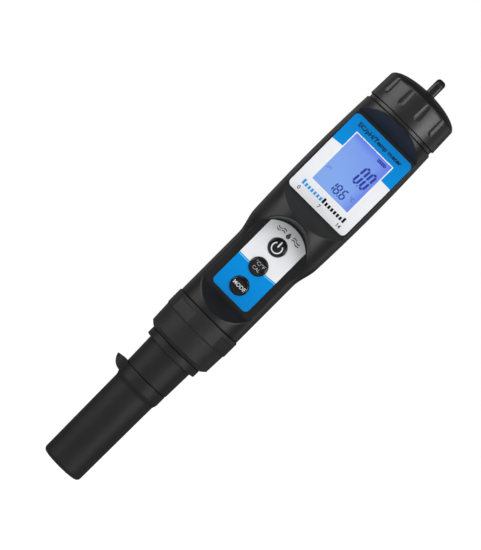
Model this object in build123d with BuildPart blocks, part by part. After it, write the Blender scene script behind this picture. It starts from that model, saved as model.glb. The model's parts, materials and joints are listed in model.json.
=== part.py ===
from build123d import *
import os
from math import sqrt

# Pocket water-test pen, in millimetres. +Z runs up the pen from the flat bottom of the storage cap
# to the lanyard eye. The display and the keys face -Y, and the storage cap's tab points to -X.

EDGE_BREAK = 0.2

# Storage cap
SC_FOOT_R = 9.5
SC_NECK_R = 9.85
SC_RIM_R = 10.5
SC_RIM_FOOT_Z = 41.4
SC_RIM_STEP_Z = 44.2
SC_RIM_Z = 48.5
SC_FOOT_ROUND = 1.7
SC_RIM_ROUND = 0.25
SC_BORE_R = 8.3
SC_SEAT_R = 9.5
SC_SEAT_Z = 43.6
SC_FLOOR = 1.6
TAB_REACH = 15.4
TAB_WIDTH = 9.0
TAB_ROOT_Z = 43.85
TAB_ROOT_X = -8.5
TAB_CREST_X = -12.4
TAB_TIP_Z = (47.85, 48.2)
TAB_CURVE_SPOT = (-13.6, 45.1)
SPONGE_TOP_Z = 6.4
SPONGE_GAP = 0.15
SPONGE_ROUND = 0.8

# Probe
NECK_FOOT_Z = 48.75
NECK_FOOT_R = 10.62
NECK_TOP_R = 10.95
NOSE_R = 12.75
NOSE_FOOT_Z = 62.3
NOSE_TOP_Z = 65.7
THROAT_R = 12.0
FLANGE_R = 13.5
FLANGE_Z = (70.3, 72.8)
PLUG_R = 11.9
PLUG_TOP_Z = 82.5
PLUG_CHAMFER = 0.6
SEAT_R = 9.1
SEAT_CHAMFER = 0.5
SEAT_FOOT_Z = 43.8
PROBE_BORE_R = 5.95
PROBE_BORE_TOP_Z = 50.0
O_RING_MINOR_R = 0.85
O_RING_MAJOR_R = 11.3
O_RING_Z = (76.0, 79.5)
SEAT_RING_MINOR_R = 0.75
SEAT_RING_MAJOR_R = 8.6
SEAT_RING_Z = 46.2
GROOVE_SLACK = 1.15
GUARD_R = 7.7
GUARD_BORE_R = 6.4
GUARD_TIP_Z = 12.0
GUARD_SLOT_TOP_Z = 27.0
GUARD_SLOT_W = 6.0
GUARD_SLOT_ANGLES = (45, 135)
GUARD_CHAMFER = 0.4
GUARD_SOCKET_R = 4.75
BLOCK_Z = (27.5, 42.5)
BULB_R = 2.9
BULB_Z = 17.2
GLASS_TUBE_R = 1.9
GLASS_WALL = 0.35
GLASS_TOP_Z = 40.0
GLASS_Y = -2.6
PIN_COUNT = 6
PIN_RING_R = 4.2
PIN_R = 0.45
PIN_Z = (80.5, 89.0)
PIN_TIP_ROUND = 0.25
WIRE_R = 0.35
WIRE_FOOT_Z = 17.6

# Sensors under the block: (x, y, radius, lowest z)
EC_PINS = ((-3.4, 2.4, 0.9, 18.5), (3.4, 2.4, 0.9, 18.5))
EC_TIP_ROUND = 0.3
TEMPERATURE_PIN = (0.0, 4.0, 1.0, 17.5)
TEMPERATURE_TIP_ROUND = 0.8
JUNCTION = (4.3, -1.8, 1.0, 27.0)
JUNCTION_TIP_ROUND = 0.15
SENSOR_TOP_Z = 36.0

# Probe collar
COLLAR_FOOT_Z = 65.95
COLLAR_FOOT_R = 13.3
COLLAR_NECK_Z = 67.5
COLLAR_NECK_R = 15.05
COLLAR_R = 15.42
COLLAR_BAND_R = 15.78
COLLAR_BAND_Z = (76.4, 76.9)
COLLAR_TOP_Z = 84.15
COLLAR_TOP_BREAK = 0.3
COLLAR_BORE_R = 14.15
COLLAR_LIP_R = 12.95
COLLAR_LIP_TOP_Z = 70.0
COLLAR_FLAT_DIST = 14.95
COLLAR_FLAT_Z = (76.9, 82.4)
COLLAR_FLATS = 4
COLLAR_FLAT_ANGLE = 55.0

# Body shell
SPIGOT_FOOT_Z = 73.0
SPIGOT_R = 13.85
SPIGOT_BORE_R = 12.3
SPIGOT_BORE_TOP_Z = 83.6
SOCKET_WELL_R = 8.0
SHELL_FOOT_Z = 84.3
GRIP_R = 15.33
SHOULDER_Z = (115.9, 127.3)
HEAD_FOOT_R = 17.36
HEAD_MID_R = 18.0
HEAD_MID_Z = 156.5
HEAD_TOP_R = 17.28
HEAD_FOOT_SLOPE = 0.044
SHELL_TOP_Z = 191.2
SHELL_TOP_BREAK = 0.4
NECK_R = 15.1
NECK_BORE_R = 13.95
NECK_TOP_Z = 203.0
CAVITY_FOOT_Z = 91.5
CAVITY_HEAD_R = 15.7
CAVITY_HEAD_TOP_Z = 186.8
CAVITY_NECK_Z = 188.8
CAVITY_TOP_Z = 190.0
CAVITY_FRONT_Y = -5.9
WALL_BEHIND_SHOULDER = 1.5

# Recesses in the front of the shell
FAR_Y = -20.0
DISPLAY_FLOOR_Y = -7.4
DISPLAY_FLOOR_Z = (143.4, 184.6)
DISPLAY_EDGE_Z = (136.4, 191.2)
DISPLAY_LOW_EDGE_R = 17.6
DISPLAY_RIM_ROUND = 0.2
KEYS_FLOOR_Y = -8.1
KEYS_RAMP_Z = (86.5, 93.8)
KEYS_ARCH_Z = 120.65
KEYS_ARCH_RISE = 0.2
KEYS_SLOT_FOOT_Z = 100.0
KEYS_RIM_ROUND = 0.4

# Display
PANEL_THICK = 0.3
PANEL_W = 31.0
PANEL_Z = (143.9, 183.5)
PANEL_CORNER_R = 2.0
WINDOW_W = 19.6
WINDOW_Z = (152.1, 177.2)
WINDOW_FRONT_Y = -7.6
WINDOW_BACK_Y = -6.1
GLASS_W = 21.4
GLASS_H = 29.0
LCD_Y = (-5.4, -3.6)
LIGHT_Y = (-3.6, -2.2)
LIGHT_H = 24.0
FRAME_WALL = 0.7
FRAME_FRONT_Y = -5.8
FRAME_LIP_W = 20.4
FRAME_LIP_H = 26.0
ZEBRA_W = 20.4
ZEBRA_H = 1.6
ZEBRA_OFFSET = 13.4

# Keypad
KEY_Z = {"power_button": 122.9, "cal_button": 112.2, "mode_button": 101.5}
KEY_R = 3.78
KEY_HOLE_R = 4.03
KEY_CROWN_Y = -9.6
KEY_DOME_SPOT = (2.08, -9.44)
KEY_SHOULDER_SPOT = (3.38, -9.1)
KEY_BROW_SPOT = (3.68, -8.9)
KEY_SIDE_Y = -8.55
KEY_FLANGE_R = 4.85
KEY_FLANGE_Y = (-5.75, -5.15)
KEY_STEM_R = 1.5
KEY_STEM_END_Y = -4.3
LABEL_HALF_W = 9.6
LABEL_FOOT_Z = 95.4
LABEL_CORNER_Z = 129.0
LABEL_TOP_Z = 132.9
LABEL_CORNER_R = 1.9
GASKET_W = 19.0
GASKET_Z = (95.6, 128.6)
GASKET_Y = (-5.9, -5.2)
GASKET_HOLE_R = 5.15
SWITCH_SIZE = 6.0
SWITCH_ROUND = 0.4
SWITCH_FRONT_Y = -3.2
ACTUATOR_FRONT_Y = -3.6
ACTUATOR_R = 1.7

# Electronics and inner frame
BOARD_HALF_W = 11.3
BOARD_Y = (-2.0, -0.8)
BOARD_Z = (96.0, 188.5)
BOARD_ROUND = 1.0
WEB_HALF_W = 12.4
WEB_BACK_Y = 0.0
WEB_Z = (93.8, 189.4)
RAIL_W = 0.8
RAIL_FRONT_Y = -4.6
BULKHEAD_R = 13.75
BULKHEAD_Z = (91.8, 93.8)
BULKHEAD_FRONT_Y = -5.75
SCREW_X = 9.4
SCREW_Z = (98.6, 185.6)
SCREW_SHANK_R = 0.95
SCREW_HEAD_R = 1.7
SCREW_HEAD_Y = -3.0
SOCKET_R = 7.5
SOCKET_FOOT_Z = 83.2
SOCKET_HOLE_R = 0.75
SOCKET_HOLE_TOP_Z = 90.0
SOCKET_CHAMFER = 0.5
CHIP_TALL = 0.9

# Parts on the board's front: (x, z, width, height)
CHIPS = (
    (-2.5, 138.6, 7.0, 7.0),
    (5.6, 140.6, 4.0, 5.0),
    (5.4, 134.4, 3.2, 1.6),
    (-8.4, 141.4, 2.0, 3.2),
    (-8.4, 136.4, 2.0, 1.2),
    (-1.6, 131.6, 5.0, 2.0),
    (8.9, 131.6, 2.0, 1.2),
    (-3.0, 184.6, 5.0, 4.4),
    (3.8, 184.6, 3.2, 1.6),
)

# Batteries
CELL_R = 5.25
CELL_LENGTH = 44.5
CELL_NUB_R = 1.9
CELL_NUB_LENGTH = 0.9
CELL_CHAMFER = 0.3
CELL_X = 5.4
CELL_Y = 6.05
CARRIER_R = 13.6
CARRIER_FRONT_Y = 0.2
CARRIER_WEB = 0.5
CARRIER_FOOT_Z = 96.6
CARRIER_PLATE = 1.6
BAY_Z = (98.2, 190.3)
PLATE_THICK = 0.5
PLATE_SIZE = 8.0
PLATE_ROUND = 1.0
SPRING_LENGTH = 2.6
SPRING_R = (2.6, 1.6)
RAIL_IN_X = 10.95
RAIL_OUT_X = 12.1
RAIL_DEPTH_Y = 5.8
LEAF_THICK = 0.3
LEAF_TOP_Z = 96.2
LEAF_REACH = 3.0
LEAF_BEND = 2.0
LEAF_TIP = 1.0
LEAF_HALF_W = 1.5
LEFT_FOOT_Z = BAY_Z[0] + SPRING_LENGTH
RIGHT_FOOT_Z = BAY_Z[0] + PLATE_THICK

# Battery cap
BC_FOOT_Z = 192.9
BC_FOOT_R = 17.3
BC_SHOULDER_Z = 203.5
BC_SHOULDER_R = 16.95
BC_DOME_RISE = 5.4
BC_BORE_R = 15.75
BC_LEDGE_Z = 203.6
BC_ROOM_R = 13.6
BC_ROOF_Z = 205.5
FLUTES = 12
FLUTE_R = 3.0
FLUTE_CENTRE_R = 19.65
FLUTE_FOOT_Z = 197.9
FLUTE_FIRST_ANGLE = -80.0
EYE_W = 4.2
EYE_LENGTH_Y = 8.6
EYE_FOOT_Z = 206.5
EYE_TOP_Z = 216.2
EYE_ROUND = 1.5
EYE_TAPER = 0.4
EYE_CROWN = 4.0
EYE_HOLE_R = 1.7
EYE_HOLE_Z = 212.3
GASKET_RING_R = (15.5, 16.6)
GASKET_RING_Z = (191.4, 192.7)

KEYS_ARCH_R = sqrt(GRIP_R**2 - KEYS_FLOOR_Y**2)
GLASS_MID_Z = sum(WINDOW_Z) / 2

os.makedirs("parts", exist_ok=True)


def write(piece, label):
    piece.part.label = label
    export_step(piece.part, f"parts/{label}.step")


def front_plane(y):
    """A plane facing the front of the pen at depth y, with X across and Z up."""
    return Plane.XZ.offset(-y)


def slab(width, z_range, y_range):
    """A plate facing the front, centred on X."""
    with BuildPart() as plate:
        with BuildSketch(front_plane(y_range[1])):
            with Locations((0, sum(z_range) / 2)):
                Rectangle(width, z_range[1] - z_range[0])
        extrude(amount=y_range[1] - y_range[0])
    return plate


def turned(*points):
    """A solid turned about the pen's axis from (radius, height) points."""
    with BuildPart() as body:
        with BuildSketch(Plane.XZ):
            with BuildLine():
                Polyline(*points, close=True)
            make_face()
        revolve(axis=Axis.Z)
    return body


def ring(r_in, r_out, z_range):
    return turned((r_in, z_range[0]), (r_out, z_range[0]), (r_out, z_range[1]), (r_in, z_range[1]))


# ---------------------------------------------------------------- storage cap

with BuildPart() as cap_tab:
    with BuildSketch(Plane.XZ):
        with BuildLine():
            Line((TAB_ROOT_X, SC_RIM_Z), (TAB_CREST_X, SC_RIM_Z))
            Line((TAB_CREST_X, SC_RIM_Z), (-TAB_REACH, TAB_TIP_Z[1]))
            Line((-TAB_REACH, TAB_TIP_Z[1]), (-TAB_REACH, TAB_TIP_Z[0]))
            ThreePointArc((-TAB_REACH, TAB_TIP_Z[0]), TAB_CURVE_SPOT, (-SC_RIM_R, TAB_ROOT_Z))
            Line((-SC_RIM_R, TAB_ROOT_Z), (TAB_ROOT_X, TAB_ROOT_Z))
            Line((TAB_ROOT_X, TAB_ROOT_Z), (TAB_ROOT_X, SC_RIM_Z))
        make_face()
    extrude(amount=TAB_WIDTH / 2, both=True)
    with BuildSketch(Plane.XY.offset(SC_SEAT_Z)):
        with Locations((-SC_SEAT_R, 0)):
            SlotOverall(2 * (TAB_REACH - SC_SEAT_R), TAB_WIDTH)
    extrude(amount=SC_RIM_Z - SC_SEAT_Z + 1, mode=Mode.INTERSECT)

with BuildPart() as storage_cap:
    with BuildSketch(Plane.XZ):
        with BuildLine():
            Line((0, 0), (SC_FOOT_R, 0))
            Line((SC_FOOT_R, 0), (SC_NECK_R, SC_RIM_FOOT_Z))
            Spline((SC_NECK_R, SC_RIM_FOOT_Z), (SC_RIM_R, SC_RIM_STEP_Z), tangents=[(0, 1), (0, 1)])
            Line((SC_RIM_R, SC_RIM_STEP_Z), (SC_RIM_R, SC_RIM_Z))
            Line((SC_RIM_R, SC_RIM_Z), (0, SC_RIM_Z))
            Line((0, SC_RIM_Z), (0, 0))
        make_face()
    revolve(axis=Axis.Z)
    fillet(storage_cap.edges().filter_by(GeomType.CIRCLE).sort_by(Axis.Z)[0], SC_FOOT_ROUND)
    fillet(storage_cap.edges().filter_by(GeomType.CIRCLE).sort_by(Axis.Z)[-1], SC_RIM_ROUND)
    add(cap_tab.part)
    with BuildSketch(Plane.XY.offset(SC_FLOOR)):
        Circle(SC_BORE_R)
    extrude(amount=SC_RIM_Z, mode=Mode.SUBTRACT)
    with BuildSketch(Plane.XY.offset(SC_SEAT_Z)):
        Circle(SC_SEAT_R)
    extrude(amount=SC_RIM_Z, mode=Mode.SUBTRACT)
write(storage_cap, "storage_cap")

with BuildPart() as storage_sponge:
    with BuildSketch(Plane.XY.offset(SC_FLOOR)):
        Circle(SC_BORE_R - SPONGE_GAP)
    extrude(amount=SPONGE_TOP_Z - SC_FLOOR)
    fillet(storage_sponge.edges().sort_by(Axis.Z)[-1], SPONGE_ROUND)
write(storage_sponge, "storage_sponge")

# ---------------------------------------------------------------- probe

probe_profile = turned(
    (PROBE_BORE_R, SEAT_FOOT_Z),
    (SEAT_R - SEAT_CHAMFER, SEAT_FOOT_Z),
    (SEAT_R, SEAT_FOOT_Z + SEAT_CHAMFER),
    (SEAT_R, NECK_FOOT_Z),
    (NECK_FOOT_R - EDGE_BREAK, NECK_FOOT_Z),
    (NECK_FOOT_R, NECK_FOOT_Z + EDGE_BREAK),
    (NECK_TOP_R, NOSE_FOOT_Z),
    (NOSE_R - EDGE_BREAK, NOSE_FOOT_Z),
    (NOSE_R, NOSE_FOOT_Z + EDGE_BREAK),
    (NOSE_R, NOSE_TOP_Z - EDGE_BREAK),
    (NOSE_R - EDGE_BREAK, NOSE_TOP_Z),
    (THROAT_R, NOSE_TOP_Z),
    (THROAT_R, FLANGE_Z[0]),
    (FLANGE_R, FLANGE_Z[0]),
    (FLANGE_R, FLANGE_Z[1]),
    (PLUG_R, FLANGE_Z[1]),
    (PLUG_R, PLUG_TOP_Z - PLUG_CHAMFER),
    (PLUG_R - PLUG_CHAMFER, PLUG_TOP_Z),
    (0, PLUG_TOP_Z),
    (0, PROBE_BORE_TOP_Z),
    (PROBE_BORE_R, PROBE_BORE_TOP_Z),
)


def ring_groove(major_r, minor_r, z):
    """The square-cut groove that an O-ring sits in, reaching past the surface it is cut in."""
    half_w = GROOVE_SLACK * minor_r
    return ring(major_r - minor_r, major_r + 2 * minor_r, (z - half_w, z + half_w))


def o_ring(major_r, minor_r, z):
    with BuildPart() as seal:
        with BuildSketch(Plane.XZ):
            with Locations((major_r, z)):
                Circle(minor_r)
        revolve(axis=Axis.Z)
    return seal


with BuildPart() as probe_body:
    add(probe_profile.part)
    for groove_z in O_RING_Z:
        add(ring_groove(O_RING_MAJOR_R, O_RING_MINOR_R, groove_z).part, mode=Mode.SUBTRACT)
    add(ring_groove(SEAT_RING_MAJOR_R, SEAT_RING_MINOR_R, SEAT_RING_Z).part, mode=Mode.SUBTRACT)
    with BuildSketch(Plane.XY.offset(PIN_Z[0])):
        with PolarLocations(PIN_RING_R, PIN_COUNT):
            Circle(PIN_R)
    extrude(amount=PLUG_TOP_Z - PIN_Z[0], mode=Mode.SUBTRACT)
write(probe_body, "probe_body")

with BuildPart() as probe_orings:
    for groove_z in O_RING_Z:
        add(o_ring(O_RING_MAJOR_R, O_RING_MINOR_R, groove_z).part)
write(probe_orings, "probe_orings")

seat_oring = o_ring(SEAT_RING_MAJOR_R, SEAT_RING_MINOR_R, SEAT_RING_Z)
write(seat_oring, "seat_oring")

guard_tube = turned(
    (GUARD_BORE_R, GUARD_TIP_Z),
    (GUARD_R - GUARD_CHAMFER, GUARD_TIP_Z),
    (GUARD_R, GUARD_TIP_Z + GUARD_CHAMFER),
    (GUARD_R, SEAT_FOOT_Z),
    (PROBE_BORE_R, SEAT_FOOT_Z),
    (PROBE_BORE_R, PROBE_BORE_TOP_Z),
    (GUARD_SOCKET_R, PROBE_BORE_TOP_Z),
    (GUARD_SOCKET_R, BLOCK_Z[1]),
    (GUARD_BORE_R, BLOCK_Z[1]),
)
slot_straight = GUARD_SLOT_TOP_Z - GUARD_SLOT_W / 2 - GUARD_TIP_Z
with BuildPart() as probe_guard:
    add(guard_tube.part)
    for slot_angle in GUARD_SLOT_ANGLES:
        with BuildSketch(Plane.XZ.rotated((0, 0, slot_angle))):
            with Locations((0, GUARD_TIP_Z + slot_straight)):
                Circle(GUARD_SLOT_W / 2)
            with Locations((0, GUARD_TIP_Z)):
                Rectangle(GUARD_SLOT_W, 2 * slot_straight)
        extrude(amount=GUARD_R + 1, both=True, mode=Mode.SUBTRACT)
write(probe_guard, "probe_guard")


def sensor_rod(x, y, radius, foot_z, tip_round):
    with BuildPart() as rod:
        with BuildSketch(Plane.XY.offset(foot_z)):
            with Locations((x, y)):
                Circle(radius)
        extrude(amount=SENSOR_TOP_Z - foot_z)
        fillet(rod.edges().sort_by(Axis.Z)[0], tip_round)
    return rod


with BuildPart() as ec_electrodes:
    for spot in EC_PINS:
        add(sensor_rod(*spot, EC_TIP_ROUND).part)
write(ec_electrodes, "ec_electrodes")

temperature_pin = sensor_rod(*TEMPERATURE_PIN, TEMPERATURE_TIP_ROUND)
write(temperature_pin, "temperature_pin")

reference_junction = sensor_rod(*JUNCTION, JUNCTION_TIP_ROUND)
write(reference_junction, "reference_junction")


def glass_envelope(inset):
    """The bulb and its tube as one solid, drawn in from the glass's outside by the inset."""
    axis_at = Axis((0, GLASS_Y, 0), (0, 0, 1))
    bulb_r = BULB_R - inset
    tube_r = GLASS_TUBE_R - inset
    join_z = BULB_Z + sqrt(bulb_r**2 - tube_r**2)
    with BuildPart() as envelope:
        with BuildSketch(Plane.XZ.offset(-GLASS_Y)):
            with BuildLine():
                ThreePointArc((0, BULB_Z - bulb_r), (bulb_r, BULB_Z), (tube_r, join_z))
                Line((tube_r, join_z), (tube_r, GLASS_TOP_Z - inset))
                Line((tube_r, GLASS_TOP_Z - inset), (0, GLASS_TOP_Z - inset))
                Line((0, GLASS_TOP_Z - inset), (0, BULB_Z - bulb_r))
            make_face()
        revolve(axis=axis_at)
    return envelope


with BuildPart() as ph_glass:
    add(glass_envelope(0).part)
    add(glass_envelope(GLASS_WALL).part, mode=Mode.SUBTRACT)
write(ph_glass, "ph_glass")

with BuildPart() as inner_electrode:
    with BuildSketch(Plane.XY.offset(WIRE_FOOT_Z)):
        with Locations((0, GLASS_Y)):
            Circle(WIRE_R)
    extrude(amount=GLASS_TOP_Z - GLASS_WALL - WIRE_FOOT_Z)
write(inner_electrode, "inner_electrode")

with BuildPart() as sensor_block:
    with BuildSketch(Plane.XY.offset(BLOCK_Z[0])):
        Circle(GUARD_BORE_R)
    extrude(amount=BLOCK_Z[1] - BLOCK_Z[0])
    for piece in (ec_electrodes, temperature_pin, reference_junction):
        add(piece.part, mode=Mode.SUBTRACT)
    add(glass_envelope(0).part, mode=Mode.SUBTRACT)
write(sensor_block, "sensor_block")

with BuildPart() as probe_pins:
    with BuildSketch(Plane.XY.offset(PIN_Z[0])):
        with PolarLocations(PIN_RING_R, PIN_COUNT):
            Circle(PIN_R)
    extrude(amount=PIN_Z[1] - PIN_Z[0])
    fillet(probe_pins.edges().group_by(Axis.Z)[-1], PIN_TIP_ROUND)
write(probe_pins, "probe_pins")

# ---------------------------------------------------------------- probe collar

collar_profile = turned(
    (COLLAR_LIP_R, COLLAR_FOOT_Z),
    (COLLAR_FOOT_R, COLLAR_FOOT_Z),
    (COLLAR_NECK_R, COLLAR_NECK_Z),
    (COLLAR_R, COLLAR_BAND_Z[0]),
    (COLLAR_BAND_R, COLLAR_BAND_Z[1]),
    (COLLAR_BAND_R, COLLAR_TOP_Z - COLLAR_TOP_BREAK),
    (COLLAR_BAND_R - COLLAR_TOP_BREAK, COLLAR_TOP_Z),
    (COLLAR_BORE_R, COLLAR_TOP_Z),
    (COLLAR_BORE_R, COLLAR_LIP_TOP_Z),
    (COLLAR_LIP_R, COLLAR_LIP_TOP_Z),
)
with BuildPart() as probe_collar:
    add(collar_profile.part)
    with BuildSketch(Plane.XY.offset(COLLAR_FLAT_Z[0])):
        with PolarLocations(COLLAR_FLAT_DIST + 1, COLLAR_FLATS, start_angle=COLLAR_FLAT_ANGLE - 90):
            Rectangle(2, 2 * COLLAR_R)
    extrude(amount=COLLAR_FLAT_Z[1] - COLLAR_FLAT_Z[0], mode=Mode.SUBTRACT)
write(probe_collar, "probe_collar")

# ---------------------------------------------------------------- body shell

cavity_profile = turned(
    (0, CAVITY_FOOT_Z),
    (NECK_BORE_R, CAVITY_FOOT_Z),
    (NECK_BORE_R, SHOULDER_Z[0] + WALL_BEHIND_SHOULDER),
    (CAVITY_HEAD_R, SHOULDER_Z[1] + WALL_BEHIND_SHOULDER),
    (CAVITY_HEAD_R, CAVITY_HEAD_TOP_Z),
    (NECK_BORE_R, CAVITY_NECK_Z),
    (NECK_BORE_R, CAVITY_TOP_Z),
    (0, CAVITY_TOP_Z),
)
with BuildPart() as cavity:
    add(cavity_profile.part)
    split(bisect_by=front_plane(CAVITY_FRONT_Y), keep=Keep.BOTTOM)

keys_ramp_slope = (KEYS_RAMP_Z[1] - KEYS_RAMP_Z[0]) / (GRIP_R + KEYS_FLOOR_Y)
display_low_slope = (DISPLAY_FLOOR_Z[0] - DISPLAY_EDGE_Z[0]) / (DISPLAY_LOW_EDGE_R + DISPLAY_FLOOR_Y)
display_high_slope = (DISPLAY_EDGE_Z[1] - DISPLAY_FLOOR_Z[1]) / (HEAD_TOP_R + DISPLAY_FLOOR_Y)
far_from_display = DISPLAY_FLOOR_Y - FAR_Y
far_from_keys = KEYS_FLOOR_Y - FAR_Y

with BuildPart() as housing:
    with BuildSketch(Plane.XZ):
        with BuildLine():
            Line((0, SPIGOT_FOOT_Z), (SPIGOT_R, SPIGOT_FOOT_Z))
            Line((SPIGOT_R, SPIGOT_FOOT_Z), (SPIGOT_R, SHELL_FOOT_Z))
            Line((SPIGOT_R, SHELL_FOOT_Z), (GRIP_R - EDGE_BREAK, SHELL_FOOT_Z))
            Line((GRIP_R - EDGE_BREAK, SHELL_FOOT_Z), (GRIP_R, SHELL_FOOT_Z + EDGE_BREAK))
            Line((GRIP_R, SHELL_FOOT_Z + EDGE_BREAK), (GRIP_R, SHOULDER_Z[0]))
            Spline(
                (GRIP_R, SHOULDER_Z[0]),
                (HEAD_FOOT_R, SHOULDER_Z[1]),
                tangents=[(0, 1), (HEAD_FOOT_SLOPE, 1)],
            )
            ThreePointArc(
                (HEAD_FOOT_R, SHOULDER_Z[1]),
                (HEAD_MID_R, HEAD_MID_Z),
                (HEAD_TOP_R, SHELL_TOP_Z - SHELL_TOP_BREAK),
            )
            Polyline(
                (HEAD_TOP_R, SHELL_TOP_Z - SHELL_TOP_BREAK),
                (HEAD_TOP_R - SHELL_TOP_BREAK, SHELL_TOP_Z),
                (NECK_R, SHELL_TOP_Z),
                (NECK_R, NECK_TOP_Z - SHELL_TOP_BREAK),
                (NECK_R - SHELL_TOP_BREAK, NECK_TOP_Z),
                (0, NECK_TOP_Z),
            )
            Line((0, NECK_TOP_Z), (0, SPIGOT_FOOT_Z))
        make_face()
    revolve(axis=Axis.Z)

    # Display recess: a flat floor between two ramps
    with BuildSketch(Plane.YZ):
        with BuildLine():
            Polyline(
                (DISPLAY_FLOOR_Y, DISPLAY_FLOOR_Z[0]),
                (DISPLAY_FLOOR_Y, DISPLAY_FLOOR_Z[1]),
                (FAR_Y, DISPLAY_FLOOR_Z[1] + far_from_display * display_high_slope),
                (FAR_Y, DISPLAY_FLOOR_Z[0] - far_from_display * display_low_slope),
                close=True,
            )
        make_face()
    extrude(amount=2 * HEAD_MID_R, both=True, mode=Mode.SUBTRACT)
    fillet(housing.edges(Select.LAST).filter_by(GeomType.BSPLINE), DISPLAY_RIM_ROUND)

    # Keypad recess: a flat floor, a ramp at its foot and an arched wall at its top
    with BuildSketch(Plane.YZ):
        with BuildLine():
            Polyline(
                (KEYS_FLOOR_Y, KEYS_RAMP_Z[1]),
                (KEYS_FLOOR_Y, SHOULDER_Z[0]),
                (FAR_Y, SHOULDER_Z[0]),
                (FAR_Y, KEYS_RAMP_Z[1] - far_from_keys * keys_ramp_slope),
                close=True,
            )
        make_face()
    extrude(amount=2 * HEAD_MID_R, both=True, mode=Mode.SUBTRACT)
    fillet(housing.edges(Select.LAST).filter_by(GeomType.ELLIPSE), KEYS_RIM_ROUND)
    with BuildSketch(front_plane(KEYS_FLOOR_Y)):
        with Locations((0, KEYS_ARCH_Z)):
            Circle(KEYS_ARCH_R)
        with Locations((0, (KEYS_SLOT_FOOT_Z + KEYS_ARCH_Z) / 2)):
            Rectangle(2 * KEYS_ARCH_R, KEYS_ARCH_Z - KEYS_SLOT_FOOT_Z)
    extrude(amount=far_from_keys, dir=(0, -1, KEYS_ARCH_RISE), mode=Mode.SUBTRACT)

    # Inside
    add(cavity.part, mode=Mode.SUBTRACT)
    with BuildSketch(Plane.XY.offset(CAVITY_TOP_Z)):
        Circle(NECK_BORE_R)
    extrude(amount=NECK_TOP_Z, mode=Mode.SUBTRACT)
    with BuildSketch(Plane.XY.offset(SPIGOT_FOOT_Z)):
        Circle(SPIGOT_BORE_R)
    extrude(amount=SPIGOT_BORE_TOP_Z - SPIGOT_FOOT_Z, mode=Mode.SUBTRACT)
    with BuildSketch(Plane.XY.offset(SPIGOT_BORE_TOP_Z)):
        Circle(SOCKET_WELL_R)
    extrude(amount=BULKHEAD_Z[0] - SPIGOT_BORE_TOP_Z, mode=Mode.SUBTRACT)

    # Window and key holes
    with BuildSketch(front_plane(CAVITY_FRONT_Y)):
        with Locations((0, sum(WINDOW_Z) / 2)):
            Rectangle(WINDOW_W, WINDOW_Z[1] - WINDOW_Z[0])
        with Locations(*[(0, z) for z in KEY_Z.values()]):
            Circle(KEY_HOLE_R)
    extrude(amount=HEAD_MID_R, mode=Mode.SUBTRACT)
write(housing, "housing")

# ---------------------------------------------------------------- display

with BuildPart() as display_overlay:
    with BuildSketch(front_plane(DISPLAY_FLOOR_Y)):
        with Locations((0, sum(PANEL_Z) / 2)):
            RectangleRounded(PANEL_W, PANEL_Z[1] - PANEL_Z[0], PANEL_CORNER_R)
        with Locations((0, sum(WINDOW_Z) / 2)):
            Rectangle(WINDOW_W, WINDOW_Z[1] - WINDOW_Z[0], mode=Mode.SUBTRACT)
    extrude(amount=PANEL_THICK)
write(display_overlay, "display_overlay")

write(slab(WINDOW_W, WINDOW_Z, (WINDOW_FRONT_Y, WINDOW_BACK_Y)), "display_window")

glass_z = (GLASS_MID_Z - GLASS_H / 2, GLASS_MID_Z + GLASS_H / 2)
light_z = (GLASS_MID_Z - LIGHT_H / 2, GLASS_MID_Z + LIGHT_H / 2)
write(slab(GLASS_W, glass_z, LCD_Y), "lcd_glass")
write(slab(GLASS_W, light_z, LIGHT_Y), "lcd_backlight")

with BuildPart() as lcd_frame:
    with BuildSketch(front_plane(BOARD_Y[0])):
        with Locations((0, GLASS_MID_Z)):
            Rectangle(GLASS_W + 2 * FRAME_WALL, GLASS_H + 2 * FRAME_WALL)
            Rectangle(GLASS_W, GLASS_H, mode=Mode.SUBTRACT)
    extrude(amount=BOARD_Y[0] - FRAME_FRONT_Y)
    with BuildSketch(front_plane(LCD_Y[0])):
        with Locations((0, GLASS_MID_Z)):
            Rectangle(GLASS_W + 2 * FRAME_WALL, GLASS_H + 2 * FRAME_WALL)
            Rectangle(FRAME_LIP_W, FRAME_LIP_H, mode=Mode.SUBTRACT)
    extrude(amount=LCD_Y[0] - FRAME_FRONT_Y)
write(lcd_frame, "lcd_frame")

with BuildPart() as zebra_strips:
    with BuildSketch(front_plane(BOARD_Y[0])):
        with Locations((0, GLASS_MID_Z - ZEBRA_OFFSET), (0, GLASS_MID_Z + ZEBRA_OFFSET)):
            Rectangle(ZEBRA_W, ZEBRA_H)
    extrude(amount=BOARD_Y[0] - LCD_Y[1])
write(zebra_strips, "zebra_strips")

# ---------------------------------------------------------------- keypad

with BuildPart() as keypad_overlay:
    with BuildSketch(front_plane(KEYS_FLOOR_Y)) as label_outline:
        with BuildLine():
            Line((-LABEL_HALF_W, LABEL_CORNER_Z), (-LABEL_HALF_W, LABEL_FOOT_Z))
            Line((-LABEL_HALF_W, LABEL_FOOT_Z), (LABEL_HALF_W, LABEL_FOOT_Z))
            Line((LABEL_HALF_W, LABEL_FOOT_Z), (LABEL_HALF_W, LABEL_CORNER_Z))
            ThreePointArc((LABEL_HALF_W, LABEL_CORNER_Z), (0, LABEL_TOP_Z), (-LABEL_HALF_W, LABEL_CORNER_Z))
        make_face()
        fillet(label_outline.vertices().group_by(Axis.Y)[0], LABEL_CORNER_R)
        with Locations(*[(0, z) for z in KEY_Z.values()]):
            Circle(KEY_HOLE_R, mode=Mode.SUBTRACT)
    extrude(amount=PANEL_THICK)
write(keypad_overlay, "keypad_overlay")


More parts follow.
